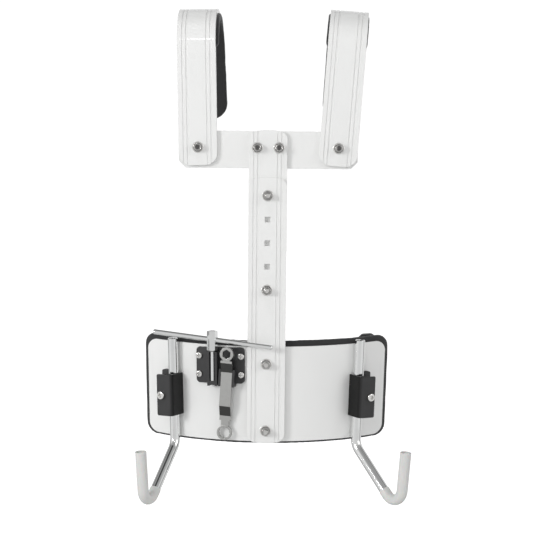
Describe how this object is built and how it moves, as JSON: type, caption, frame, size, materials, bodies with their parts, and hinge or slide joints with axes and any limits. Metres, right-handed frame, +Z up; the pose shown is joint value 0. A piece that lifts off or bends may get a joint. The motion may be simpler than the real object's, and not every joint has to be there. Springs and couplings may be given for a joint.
{
  "type": "marching drum carrier",
  "caption": "Shoulder-worn carrier that holds a marching snare drum on J-shaped hooks in front of a curved, foam-backed belly plate, with height adjustment and a tool clip.",
  "frame": {"origin": "midway between the two shoulder pads, on the underside of their crowns, where the carrier rests on the wearer", "axes": "+Z up, +Y towards the wearer, +X to the right in the front view"},
  "size_m": [0.3398, 0.1959, 0.6215],
  "materials": {
    "white_coat": "gloss",
    "bright_steel": "polished",
    "foam": "matte",
    "chrome_plate": "polished",
    "black_metal": "satin",
    "black_plastic": "satin",
    "nylon": "satin",
    "grey_vinyl": "satin",
    "wrench_steel": "satin"
  },
  "bodies": {
    "yoke": {"crossbar": "white_coat", "upper_bar": "white_coat", "yoke_bolts": "bright_steel", "yoke_nuts": "bright_steel", "arm_pivot_bolts": "bright_steel", "arm_pivot_nuts": "bright_steel"},
    "arm_left": {"shoulder_arm_left": "white_coat", "shoulder_pad_left": "foam"},
    "arm_right": {"shoulder_arm_right": "white_coat", "shoulder_pad_right": "foam"},
    "lower_frame": {"lower_bar": "white_coat", "spine_bolts": "bright_steel", "spine_nuts": "bright_steel", "plate_bolts": "bright_steel", "plate_nuts": "bright_steel", "belly_plate": "white_coat", "belly_pad_front": "foam", "belly_pad_rear": "foam", "tool_holder": "black_plastic", "holder_screws": "bright_steel", "clamp_cover_left": "black_metal", "clamp_jaw_left": "black_plastic", "clamp_screw_left": "bright_steel", "jaw_screws_left": "bright_steel", "clamp_cover_right": "black_metal", "clamp_jaw_right": "black_plastic", "clamp_screw_right": "bright_steel", "jaw_screws_right": "bright_steel"},
    "swivel_left": {"rod_bush_left": "nylon"},
    "swivel_right": {"rod_bush_right": "nylon"},
    "rod_left": {"j_rod_left": "chrome_plate", "hook_sleeve_left": "grey_vinyl"},
    "rod_right": {"j_rod_right": "chrome_plate", "hook_sleeve_right": "grey_vinyl"},
    "drum_key": {"key_barrel": "chrome_plate", "key_bar": "chrome_plate", "key_stem": "bright_steel"},
    "wrench": {"ring_wrench": "wrench_steel"}
  },
  "joints": [
    {"name": "arm_left_spread", "type": "hinge", "parent": "yoke", "child": "arm_left", "pos_m": [-0.088, -0.05, -0.163], "axis": [0, -1, 0], "range_deg": [-8, 12]},
    {"name": "arm_right_spread", "type": "hinge", "parent": "yoke", "child": "arm_right", "pos_m": [0.088, -0.05, -0.163], "axis": [0, 1, 0], "range_deg": [-12, 8]},
    {"name": "height_slide", "type": "slide", "parent": "yoke", "child": "lower_frame", "axis": [0, 0, 1], "range_m": [-0.02, 0.015]},
    {"name": "hook_left_swivel", "type": "hinge", "parent": "lower_frame", "child": "swivel_left", "pos_m": [-0.11811, -0.02643, -0.47756], "axis": [0.0295, -0.0078, -0.9995], "range_deg": [-60, 40]},
    {"name": "hook_left_height", "type": "slide", "parent": "swivel_left", "child": "rod_left", "axis": [-0.0295, 0.0078, 0.9995], "range_m": [-0.04, 0.022]},
    {"name": "hook_right_swivel", "type": "hinge", "parent": "lower_frame", "child": "swivel_right", "pos_m": [0.11811, -0.02643, -0.47756], "axis": [0.0295, 0.0078, 0.9995], "range_deg": [-60, 40]},
    {"name": "hook_right_height", "type": "slide", "parent": "swivel_right", "child": "rod_right", "axis": [0.0295, 0.0078, 0.9995], "range_m": [-0.04, 0.022]},
    {"name": "drum_key_lift", "type": "slide", "parent": "lower_frame", "child": "drum_key", "axis": [-0.0148, 0.0019, 0.9999], "range_m": [0, 0.045]},
    {"name": "wrench_pull", "type": "slide", "parent": "lower_frame", "child": "wrench", "axis": [-0.2499, -0.9683, -0.0019], "range_m": [0, 0.03]}
  ]
}
